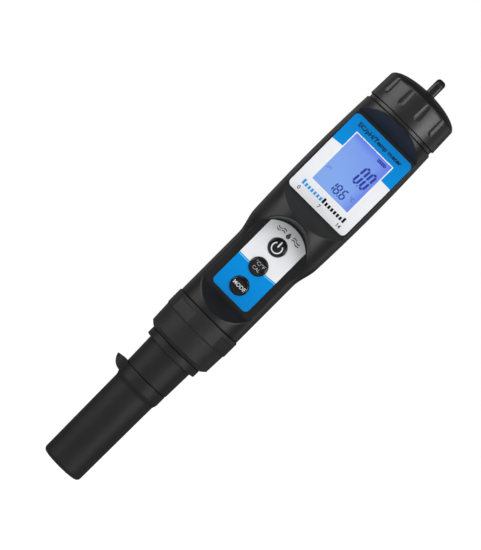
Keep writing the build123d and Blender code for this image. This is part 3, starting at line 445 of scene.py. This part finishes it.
BODY_BLACK = (0.0036, 0.0034, 0.0038, 1)
CAP_GREY = (0.0032, 0.0029, 0.0030, 1)
COLLAR_GREY = (0.0075, 0.0067, 0.0070, 1)
MATERIALS = {
    "body": moulded("body_plastic", BODY_BLACK, 0.36, 0.45, edge=0.0007, matt=on_display_slope),
    "cap": moulded("cap_plastic", BODY_BLACK, 0.38, 0.62),
    "storage": moulded("storage_plastic", CAP_GREY, 0.46, grain=3400.0),
    "collar": moulded("collar_plastic", COLLAR_GREY, 0.48),
    "inner": moulded("inner_plastic", (0.03, 0.03, 0.032, 1), 0.5),
    "guard": moulded("guard_plastic", (0.018, 0.018, 0.019, 1), 0.42),
    "display_print": printed_film("display_print", display_colours),
    "keypad_print": printed_film("keypad_print", keypad_colours),
    "key": gloss("key_plastic", (0.006, 0.006, 0.007, 1)),
    "chip": gloss("chip_plastic", (0.012, 0.012, 0.013, 1), 0.4),
    "white_plastic": gloss("diffuser_plastic", (0.7, 0.72, 0.78, 1), 0.4),
    "display": lit_display(),
    "window": clear("window_clear"),
    "bulb": clear("bulb_glass", 0.01),
    "seal": rubber("seal_rubber", (0.045, 0.044, 0.045, 1)),
    "gasket": rubber("gasket_rubber", (0.010, 0.010, 0.010, 1), 0.34),
    "o_ring": rubber("o_ring_rubber", (0.012, 0.012, 0.012, 1)),
    "steel": metal("plated_steel", (0.6, 0.6, 0.61, 1)),
    "gold": metal("plated_gold", (0.85, 0.6, 0.22, 1), 0.2),
    "silver_wire": metal("silver_wire", (0.75, 0.74, 0.72, 1), 0.2),
    "board": circuit_board(),
    "cell": cell_sleeve(),
    "graphite": rubber("graphite_rod", (0.02, 0.02, 0.022, 1), 0.4),
    "frit": rubber("ceramic_frit", (0.68, 0.66, 0.6, 1), 0.8),
    "foam": foam(),
    "ink_white": ink("ink_white", (0.82, 0.84, 0.88, 1)),
    "ink_key": ink("ink_key", (0.72, 0.73, 0.76, 1)),
    "ink_dim": ink("ink_dim", (0.40, 0.41, 0.44, 1)),
    "ink_navy": ink("ink_navy", (0.006, 0.02, 0.07, 1)),
    "ink_black": ink("ink_black", (0.008, 0.008, 0.01, 1)),
    "ink_blue": ink("ink_blue", (0.01, 0.30, 0.72, 1)),
    "ink_grey": ink("ink_grey", (0.045, 0.05, 0.055, 1)),
    "segment": display_ink("segment_ink", (0.010, 0.032, 0.32, 1)),
    "segment_faint": display_ink("segment_faint", (0.07, 0.12, 0.52, 1)),
}

NODE_MATERIAL = {
    "housing": "body",
    "battery_cap": "cap",
    "probe_collar": "collar",
    "probe_body": "storage",
    "storage_cap": "storage",
    "display_overlay": "display_print",
    "keypad_overlay": "keypad_print",
    "display_window": "window",
    "lcd_glass": "display",
    "lcd_backlight": "white_plastic",
    "lcd_frame": "inner",
    "zebra_strips": "seal",
    "power_button": "key",
    "cal_button": "key",
    "mode_button": "key",
    "keypad_gasket": "seal",
    "main_board": "board",
    "board_components": "chip",
    "board_screws": "steel",
    "tact_switches": "chip",
    "probe_socket": "chip",
    "bay_contacts": "gold",
    "chassis": "inner",
    "battery_carrier": "inner",
    "carrier_contacts": "steel",
    "carrier_springs": "steel",
    "cap_gasket": "gasket",
    "probe_orings": "o_ring",
    "seat_oring": "o_ring",
    "probe_guard": "guard",
    "sensor_block": "inner",
    "ph_glass": "bulb",
    "inner_electrode": "silver_wire",
    "reference_junction": "frit",
    "ec_electrodes": "graphite",
    "temperature_pin": "steel",
    "probe_pins": "gold",
    "storage_sponge": "foam",
}
NODE_MATERIAL |= {f"aaa_cell_{number}": "cell" for number in range(1, 5)}


def dress(piece, material):
    if not piece.material_slots:
        piece.data.materials.append(MATERIALS[material])
    for piece_slot in piece.material_slots:
        piece_slot.material = MATERIALS[material]


for node_name, node_object in nodes.items():
    dress(node_object, NODE_MATERIAL[node_name])

# ------------------------------------------------------------------ mesh helpers


INK = 0.03
FRONT_RAY_Y = -0.05
PRESS_LIFT = 0.02
PRESS_EDGE = 0.35


def place(name, mesh, body, material):
    """Makes a mesh into a piece that rides on a body."""
    piece = bpy.data.objects.new(name, mesh)
    bpy.context.scene.collection.objects.link(piece)
    dress(piece, material)
    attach(piece, body)
    return piece


def add_mesh(name, body, material, vertices, faces, smooth=False):
    """A mesh piece from points in millimetres."""
    mesh = bpy.data.meshes.new(name)
    mesh.from_pydata([Vector(v) * MM for v in vertices], [], faces)
    mesh.validate()
    if smooth:
        mesh.shade_smooth()
    else:
        mesh.shade_flat()
    return place(name, mesh, body, material)


def prisms(name, body, material, outlines, front_y):
    """Flat shapes facing the front: each outline of (x, z) points becomes a closed prism of ink."""
    vertices, faces = [], []
    for outline in outlines:
        start, count = len(vertices), len(outline)
        area = sum(a[0] * b[1] - b[0] * a[1] for a, b in zip(outline, outline[1:] + outline[:1]))
        ordered = outline if area > 0 else outline[::-1]
        vertices += [(x, front_y, z) for x, z in ordered]
        vertices += [(x, front_y + INK, z) for x, z in ordered]
        faces.append([start + i for i in range(count)])
        faces.append([start + count + i for i in reversed(range(count))])
        for i in range(count):
            j = (i + 1) % count
            faces.append([start + i, start + count + i, start + count + j, start + j])
    return add_mesh(name, body, material, vertices, faces)


def flat_words(words, size, weight):
    """The words as a flat mesh in the XY plane, in millimetres."""
    curve = bpy.data.curves.new("words", "FONT")
    curve.body = words
    curve.size = size
    curve.offset = weight
    curve.align_x = "CENTER"
    curve.align_y = "CENTER"
    curve.resolution_u = 4
    maker = bpy.data.objects.new("words", curve)
    bpy.context.scene.collection.objects.link(maker)
    bpy.context.view_layer.update()
    mesh = bpy.data.meshes.new_from_object(maker.evaluated_get(bpy.context.evaluated_depsgraph_get()))
    bpy.data.objects.remove(maker)
    bpy.data.curves.remove(curve)
    return mesh


def lettering(name, body, material, words, size, centre, front_y, weight=0.0, squeeze=1.0):
    """Raised ink letters facing the front, centred on (x, z). Squeeze scales them across."""
    flat = flat_words(words, size, weight)
    shape = bmesh.new()
    shape.from_mesh(flat)
    bpy.data.meshes.remove(flat)
    low = [min(v.co[i] for v in shape.verts) for i in (0, 1)]
    high = [max(v.co[i] for v in shape.verts) for i in (0, 1)]
    middle = [(a + b) / 2 for a, b in zip(low, high)]
    for v in shape.verts:
        x, z = (v.co.x - middle[0]) * squeeze, v.co.y - middle[1]
        v.co = Vector((centre[0] + x, front_y, centre[1] + z)) * MM
    grown = bmesh.ops.extrude_face_region(shape, geom=shape.faces[:])
    for v in (g for g in grown["geom"] if isinstance(g, bmesh.types.BMVert)):
        v.co.y += INK * MM
    bmesh.ops.recalc_face_normals(shape, faces=shape.faces[:])
    raised = bpy.data.meshes.new(name)
    shape.to_mesh(raised)
    shape.free()
    return place(name, raised, body, material)


def press_onto(piece, node):
    """Moves a flat front-facing piece back onto the curved front of a CAD node, keeping its thickness."""
    surface = BVHTree.FromObject(nodes[node], bpy.context.evaluated_depsgraph_get())
    shape = bmesh.new()
    shape.from_mesh(piece.data)
    long_edges = [e for e in shape.edges if e.calc_length() > PRESS_EDGE * MM]
    bmesh.ops.subdivide_edges(shape, edges=long_edges, cuts=2)
    bmesh.ops.triangulate(shape, faces=shape.faces[:])
    front = min(v.co.y for v in shape.verts)
    for v in shape.verts:
        hit = surface.ray_cast(Vector((v.co.x, FRONT_RAY_Y, v.co.z)), Vector((0, 1, 0)))[0]
        if hit:
            v.co.y = hit.y - PRESS_LIFT * MM + (v.co.y - front)
    shape.to_mesh(piece.data)
    shape.free()


def box_outline(x, z, width, height):
    """A rectangle centred on (x, z)."""
    return [
        (x - width / 2, z - height / 2),
        (x + width / 2, z - height / 2),
        (x + width / 2, z + height / 2),
        (x - width / 2, z + height / 2),
    ]


def arc_points(centre, radius, start, end, steps):
    """Points on an arc, with angles in degrees from +X."""
    angles = [math.radians(start + (end - start) * i / steps) for i in range(steps + 1)]
    return [(centre[0] + radius * math.cos(a), centre[1] + radius * math.sin(a)) for a in angles]


def arc_band(centre, radius, width, start, end, steps=28):
    """A curved bar as quads, so that it stays a clean shape."""
    inner = arc_points(centre, radius - width / 2, start, end, steps)
    outer = arc_points(centre, radius + width / 2, start, end, steps)
    return [[inner[i], outer[i], outer[i + 1], inner[i + 1]] for i in range(steps)]


# ------------------------------------------------------------------ display print and window

node_front = {name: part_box(name)[0].y / MM for name in ("display_overlay", "keypad_overlay", "lcd_glass")}
window_low, window_high = (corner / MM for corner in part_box("display_window"))
BORDER_LINE = 0.42
HEADER_SIZE, HEADER_AT = 2.5, (0.0, 180.25)
SCALE_STEPS, SCALE_MAJOR = 14, 7
SCALE_HALF, SCALE_TOP_Z, SCALE_NUMBERS_Z = 11.0, 150.1, 145.9
TICK_WIDTH, TICK_TALL, TICK_SHORT = 1.0, 2.3, 1.5


def add_window_border():
    """The thin white line printed around the window."""
    line = BORDER_LINE
    width, height = window_high.x - window_low.x + line, window_high.z - window_low.z + line
    x, z = (window_low.x + window_high.x) / 2, (window_low.z + window_high.z) / 2
    bars = [box_outline(x, z + side * height / 2, width + line, line) for side in (-1, 1)]
    bars += [box_outline(x + side * width / 2, z, line, height - line) for side in (-1, 1)]
    prisms("window_border", "body", "ink_white", bars, node_front["display_overlay"] - INK)


def add_display_prints():
    """The header, and a scale from 0 to 14 with its lower half blue."""
    front = node_front["display_overlay"] - INK
    lettering(
        "header_legend", "body", "ink_navy", "EC/pH/Temp meter", HEADER_SIZE, HEADER_AT, front,
        weight=0.085, squeeze=1.16,
    )
    pitch = 2 * SCALE_HALF / SCALE_STEPS
    blue, black = [], []
    for i in range(SCALE_STEPS + 1):
        tall = TICK_SHORT if i % SCALE_MAJOR else TICK_TALL
        tick = box_outline(i * pitch - SCALE_HALF, SCALE_TOP_Z - TICK_TALL + tall / 2, TICK_WIDTH, tall)
        (blue if i < SCALE_MAJOR else black).append(tick)
    prisms("scale_ticks_low", "body", "ink_blue", blue, front)
    prisms("scale_ticks_high", "body", "ink_black", black, front)
    for words, x in (("0", -SCALE_HALF), ("7", 0.0), ("14", SCALE_HALF)):
        lettering(
            f"scale_number_{words}", "body", "ink_grey", words, 2.3, (x, SCALE_NUMBERS_Z), front,
            weight=0.035,
        )


add_window_border()
add_display_prints()

# ------------------------------------------------------------------ display segments

SEGMENTS = {"0": "abcdef", "1": "bc", "6": "acdefg", "8": "abcdefg"}
SEGMENT_LEAN = math.tan(math.radians(5.0))
LARGE_DIGIT = {"z": 166.45, "width": 2.85, "height": 8.6, "bar": 0.98}
SMALL_DIGIT = {"z": 156.0, "width": 2.35, "height": 4.6, "bar": 0.62}
LARGE_DIGITS = (("0", 3.6), ("0", 7.05))
SMALL_DIGITS = (("1", -1.9), ("8", 0.75), ("6", 3.85))
LARGE_POINT = (5.05, 162.4, 0.5, 0.5)
SMALL_POINT = (2.25, 153.95, 0.55, 0.55)
GAUGE_AT = (5.6, 175.55)
UNIT_C_SIZE, UNIT_C_AT = 2.1, (7.3, 157.1)
UNIT_PH_SIZE, UNIT_PH_AT = 1.9, (-8.0, 159.9)


def seven_segments(digit, x, z, width, height, bar):
    """A digit's lit segments as outlines, centred on (x, z)."""
    gap = bar * 0.1
    half_w, half_h = width / 2 - bar / 2, height / 2 - bar / 2
    rows = {"a": half_h, "g": 0.0, "d": -half_h}
    columns = {"b": (half_w, 1), "c": (half_w, -1), "f": (-half_w, 1), "e": (-half_w, -1)}
    outlines = []
    for segment in SEGMENTS[digit]:
        if segment in rows:
            y, end = rows[segment], half_w - gap
            points = [
                (-end, y), (-end + bar / 2, y + bar / 2), (end - bar / 2, y + bar / 2),
                (end, y), (end - bar / 2, y - bar / 2), (-end + bar / 2, y - bar / 2),
            ]
        else:
            across, sign = columns[segment]
            near, far = sign * gap, sign * (half_h - gap)
            cut = sign * bar / 2
            points = [
                (across, near), (across - bar / 2, near + cut), (across - bar / 2, far - cut),
                (across, far), (across + bar / 2, far - cut), (across + bar / 2, near + cut),
            ]
        outlines.append([(x + px + pz * SEGMENT_LEAN, z + pz) for px, pz in points])
    return outlines


def gauge_outlines(x, z):
    """A battery symbol lying on its side, with four bars in it."""
    shell = [box_outline(x, z + side * 0.55, 4.0, 0.28) for side in (1, -1)]
    shell += [box_outline(x - 1.9, z, 0.28, 1.2), box_outline(x + 1.95, z, 0.28, 1.2)]
    tip = box_outline(x + 2.25, z, 0.36, 0.6)
    return shell + [tip] + [box_outline(x - 1.25 + 0.85 * i, z, 0.68, 0.76) for i in range(4)]


def add_reading():
    """What the display shows, as dark segments on its glass."""
    front = node_front["lcd_glass"] - INK
    large = [outline for digit, x in LARGE_DIGITS for outline in seven_segments(digit, x, **LARGE_DIGIT)]
    small = [outline for digit, x in SMALL_DIGITS for outline in seven_segments(digit, x, **SMALL_DIGIT)]
    large.append(box_outline(*LARGE_POINT))
    small.append(box_outline(*SMALL_POINT))
    prisms("reading_large", "body", "segment", large, front)
    prisms("reading_small", "body", "segment", small, front)
    lettering(
        "unit_celsius", "body", "segment", "°C", UNIT_C_SIZE, UNIT_C_AT, front
    )
    prisms("battery_gauge", "body", "segment", gauge_outlines(*GAUGE_AT), front)
    lettering(
        "unit_ph", "body", "segment_faint", "pH", UNIT_PH_SIZE, UNIT_PH_AT, front
    )


add_reading()

# ------------------------------------------------------------------ keypad print and key legends


DROP_AT, DROP_RADIUS, DROP_TIP = (0.0, 129.15), 0.95, 1.6
WAVE_RADIUS, WAVE_LINE, WAVE_ROWS = 1.45, 0.42, (-0.45, 0.55)
LEGEND_Y = -12.0
POWER_RADIUS, POWER_LINE = 2.2, 0.5


def key_centre(node):
    """The middle of a key, as (x, z) in millimetres."""
    low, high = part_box(node)
    return ((low.x + high.x) / 2 / MM, (low.z + high.z) / 2 / MM)


def add_drop_mark():
    """A generic water drop between two pairs of waves."""
    x, z = DROP_AT
    drop = arc_points((x, z - 0.3), DROP_RADIUS, -210, 30, 20) + [(x, z + DROP_TIP)]
    waves = []
    for side in (-1, 1):
        for row in WAVE_ROWS:
            waves += arc_band((x + side * 2.75, z + row - 0.9), WAVE_RADIUS, WAVE_LINE, 50, 130, 10)
            waves += arc_band((x + side * 4.85, z + row + 1.05), WAVE_RADIUS, WAVE_LINE, 230, 310, 10)
    prisms("drop_mark", "body", "ink_grey", [drop] + waves, node_front["keypad_overlay"] - INK)


def add_key_legends():
    """Flat legends in front of the keys, each pressed back onto its key's dome."""
    x, z = key_centre("power_button")
    symbol = arc_band((x, z - 0.3), POWER_RADIUS, POWER_LINE, 130, 410, 40)
    symbol.append(box_outline(x, z + 1.45, 0.62, 2.7))
    power = prisms("power_legend", "power_key", "ink_key", symbol, LEGEND_Y)
    press_onto(power, "power_button")
    x, z = key_centre("cal_button")
    for name, words, size, up in (("unit_legend", "°C/°F", 2.1, 1.1), ("cal_legend", "CAL", 2.0, -1.25)):
        legend = lettering(name, "cal_key", "ink_dim", words, size, (x, z + up), LEGEND_Y)
        press_onto(legend, "cal_button")
    centre = key_centre("mode_button")
    legend = lettering(
        "mode_legend", "mode_key", "ink_key", "MODE", 2.3, centre, LEGEND_Y, weight=0.012, squeeze=0.94
    )
    press_onto(legend, "mode_button")


add_drop_mark()
add_key_legends()

# ------------------------------------------------------------------ threads and springs


NECK_R, NECK_Z, NECK_PITCH, NECK_CREST = 15.1, (194.6, 202.2), 2.2, 0.36
SPIGOT_R, SPIGOT_Z, SPIGOT_PITCH, SPIGOT_CREST = 13.85, (74.0, 83.4), 1.8, 0.2
RIDGE_STEPS, RIDGE_FADE = 72, 14
RIDGE_SUNK, RIDGE_FOOT_SUNK = 0.05, 0.08
COIL_TURNS, COIL_STEPS, COIL_SIDES = 3.2, 32, 8
WIRE_R, COIL_WIDE_R, COIL_NARROW_R = 0.24, 2.3, 1.5


def helix_ridge(name, root_r, crest, low_z, high_z, pitch):
    """A screw thread's ridge on the housing, fading into its cylinder at both ends."""
    steps = int((high_z - low_z - pitch * 0.6) / pitch * RIDGE_STEPS)
    foot_r = root_r - RIDGE_FOOT_SUNK
    vertices, faces = [], []
    for i in range(steps + 1):
        angle = 2 * math.pi * i / RIDGE_STEPS
        fade = min(1.0, i / RIDGE_FADE, (steps - i) / RIDGE_FADE)
        middle = low_z + pitch * 0.3 + pitch * i / RIDGE_STEPS
        crest_r = root_r - RIDGE_SUNK + (crest + RIDGE_SUNK) * fade
        for radius, rise in ((foot_r, -0.3), (crest_r, -0.1), (crest_r, 0.1), (foot_r, 0.3)):
            vertices.append((radius * math.cos(angle), radius * math.sin(angle), middle + rise * pitch))
    for i in range(steps):
        for k in range(4):
            a, b = i * 4 + k, i * 4 + (k + 1) % 4
            faces.append((a, a + 4, b + 4, b))
    faces.append((3, 2, 1, 0))
    end = steps * 4
    faces.append((end, end + 1, end + 2, end + 3))
    add_mesh(name, "body", "body", vertices, faces)


def contact_coil(name, x, y, wide_z, narrow_z):
    """A cone-wound contact spring as a swept wire."""
    steps, sides = int(COIL_TURNS * COIL_STEPS), COIL_SIDES
    vertices, faces = [], []
    for i in range(steps + 1):
        t = i / steps
        angle = 2 * math.pi * COIL_TURNS * t
        radius = COIL_WIDE_R + (COIL_NARROW_R - COIL_WIDE_R) * t
        rise = wide_z + (narrow_z - wide_z) * t
        for k in range(sides):
            turn = 2 * math.pi * k / sides
            r = radius + WIRE_R * math.cos(turn)
            z = rise + WIRE_R * math.sin(turn)
            vertices.append((x + r * math.cos(angle), y + r * math.sin(angle), z))
    for i in range(steps):
        for k in range(sides):
            a, b = i * sides + k, i * sides + (k + 1) % sides
            faces.append((a, a + sides, b + sides, b))
    faces.append(tuple(reversed(range(sides))))
    faces.append(tuple(steps * sides + k for k in range(sides)))
    return add_mesh(name, "carrier", "steel", vertices, faces, smooth=True)


def add_springs():
    """One spring under the first cell and one over the fourth, in place of the plain cones."""
    cell_low, cell_high = (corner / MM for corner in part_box("aaa_cell_1"))
    far_low, far_high = (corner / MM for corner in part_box("aaa_cell_4"))
    bay_low, bay_high = (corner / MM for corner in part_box("carrier_springs"))
    y = (cell_low.y + cell_high.y) / 2
    near_x, far_x = (cell_low.x + cell_high.x) / 2, (far_low.x + far_high.x) / 2
    lower = contact_coil("spring_lower", near_x, y, bay_low.z + WIRE_R, cell_low.z - WIRE_R)
    contact_coil("spring_upper", far_x, y, bay_high.z - WIRE_R, far_high.z + WIRE_R)
    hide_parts("carrier_springs")


helix_ridge("neck_thread", NECK_R, NECK_CREST, *NECK_Z, NECK_PITCH)
helix_ridge("spigot_thread", SPIGOT_R, SPIGOT_CREST, *SPIGOT_Z, SPIGOT_PITCH)
add_springs()

# ------------------------------------------------------------------ storage sponge


SPONGE_RINGS, SPONGE_SIDES = 9, 48
SPONGE_FIT = 0.995
SPONGE_LOBES, SPONGE_WOBBLE = 5, 0.006


def add_sponge():
    """A round foam pad with soft, slightly crowned faces."""
    low, high = (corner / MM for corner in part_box("storage_sponge"))
    radius, tall = (high.x - low.x) / 2, high.z - low.z
    rings, sides = SPONGE_RINGS, SPONGE_SIDES
    foot = [(radius * i / rings, 0.0) for i in range(1, rings)]
    wall = [
        (radius * (0.97 + 0.03 * math.sin(math.pi * t)), tall * (0.06 + 0.84 * t))
        for t in (0.0, 0.25, 0.5, 0.75, 1.0)
    ]
    top = [(radius * i / rings, tall * (1.0 - 0.05 * (i / rings) ** 4)) for i in range(rings - 1, 0, -1)]
    profile = foot + wall + top
    vertices = [(0, 0, low.z), (0, 0, low.z + tall)]
    for r, h in profile:
        for k in range(sides):
            a = 2 * math.pi * k / sides
            lobed = r * (1.0 + SPONGE_WOBBLE * math.sin(SPONGE_LOBES * a + h)) * SPONGE_FIT
            vertices.append((lobed * math.cos(a), lobed * math.sin(a), low.z + h))
    faces = []
    last = 2 + (len(profile) - 1) * sides
    for k in range(sides):
        n = (k + 1) % sides
        faces.append((0, 2 + n, 2 + k))
        faces.append((1, last + k, last + n))
        for j in range(len(profile) - 1):
            a = 2 + j * sides
            faces.append((a + k, a + n, a + sides + n, a + sides + k))
    sponge = add_mesh("sponge_pad", "storage", "foam", vertices, faces, smooth=True)
    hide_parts("storage_sponge")


add_sponge()

# ------------------------------------------------------------------ floor, world and lights


FLOOR_DROP = 0.086  # how far the floor lies under the foot: clear of the storage cap when all is drawn off
FLOOR_SIZE = 12.0
PEN_MID = (0.0, 0.0, 0.11)
FRONT, BELOW = (0.0, -1.35, 0.05), (0.0, -0.55, -0.42)


def add_floor():
    """Pale paper. The camera sees it fade up to the white behind, and it throws little light back."""
    shader = Shader("floor_paper")
    away = shader.node("ShaderNodeVectorMath", {0: shader.coords}, operation="LENGTH").outputs["Value"]
    glow = shader.ramp(away, 0.05, 0.5, 0.84, 1.0, smooth=True)
    seen = shader.node("ShaderNodeLightPath").outputs["Is Camera Ray"]
    shader.set(
        Base_Color=shader.mix(shader.noise(6.0, 4.0), grey(0.24), grey(0.28)),
        Roughness=0.8,
        Normal=shader.bump(shader.noise(900.0), 0.00002),
        Emission_Color=grey(1.0),
        Emission_Strength=shader.math("MULTIPLY", seen, glow),
    )
    bpy.ops.mesh.primitive_plane_add(size=FLOOR_SIZE, location=(0, 0, cad_box[0].z - FLOOR_DROP))
    floor = bpy.context.object
    floor.name = "floor"
    floor.data.materials.append(shader.material)
    floor.visible_shadow = False


def add_world():
    """A studio that is white to the camera and dim around the pen, a little brighter behind it."""
    world = bpy.data.worlds.new("studio")
    bpy.context.scene.world = world
    world.use_nodes = True
    world.node_tree.nodes.clear()
    sky = Tree(world.node_tree)
    direction = sky.node("ShaderNodeTexCoord").outputs["Generated"]
    split = sky.node("ShaderNodeSeparateXYZ", {"Vector": direction}).outputs
    behind = sky.ramp(split["Y"], -0.7, 0.8, 0.08, 0.20)
    level = sky.ramp(split["Z"], 0.1, 0.8, 1.0, 0.3)
    seen = sky.node("ShaderNodeLightPath").outputs["Is Camera Ray"]
    inputs = {"Factor": seen, "A": sky.math("MULTIPLY", behind, level), "B": 1.0}
    strength = sky.node("ShaderNodeMix", inputs).outputs["Result"]
    background = sky.node("ShaderNodeBackground", {"Color": grey(1.0), "Strength": strength})
    sky.node("ShaderNodeOutputWorld", {"Surface": background.outputs[0]})


def add_softbox(name, at, width, height, power):
    """A rectangular area light, turned to the middle of the pen."""
    data = bpy.data.lights.new(name, "AREA")
    data.shape = "RECTANGLE"
    data.size = width
    data.size_y = height
    data.energy = power
    light = bpy.data.objects.new(name, data)
    bpy.context.scene.collection.objects.link(light)
    light.location = at
    light.rotation_mode = "QUATERNION"
    light.rotation_quaternion = (Vector(PEN_MID) - Vector(at)).to_track_quat("-Z", "Y")


def around(angle, distance, height):
    """A place round the pen: 0 degrees is in front, positive to the camera's right."""
    a = math.radians(angle)
    return (distance * math.sin(a), -distance * math.cos(a), height)


add_floor()
add_world()
add_softbox("softbox_left", around(-66, 0.75, 0.30), 0.70, 0.45, 3.0)
add_softbox("softbox_right", around(54, 0.8, 0.30), 0.55, 0.45, 3.6)
add_softbox("softbox_rear_right", around(123, 0.8, 0.20), 0.2, 0.5, 0.2)
add_softbox("softbox_rear_left", around(-140, 0.8, 0.20), 0.3, 0.5, 0.12)
add_softbox("softbox_front", FRONT, 1.2, 1.0, 0.9)
add_softbox("softbox_below", BELOW, 0.9, 0.5, 6.8)
add_softbox("softbox_upper_left", around(-50, 0.5, 0.75), 0.4, 0.3, 1.3)
add_softbox("softbox_upper_right", around(45, 0.5, 0.75), 0.4, 0.3, 1.3)
bpy.context.scene.view_settings.view_transform = "Standard"
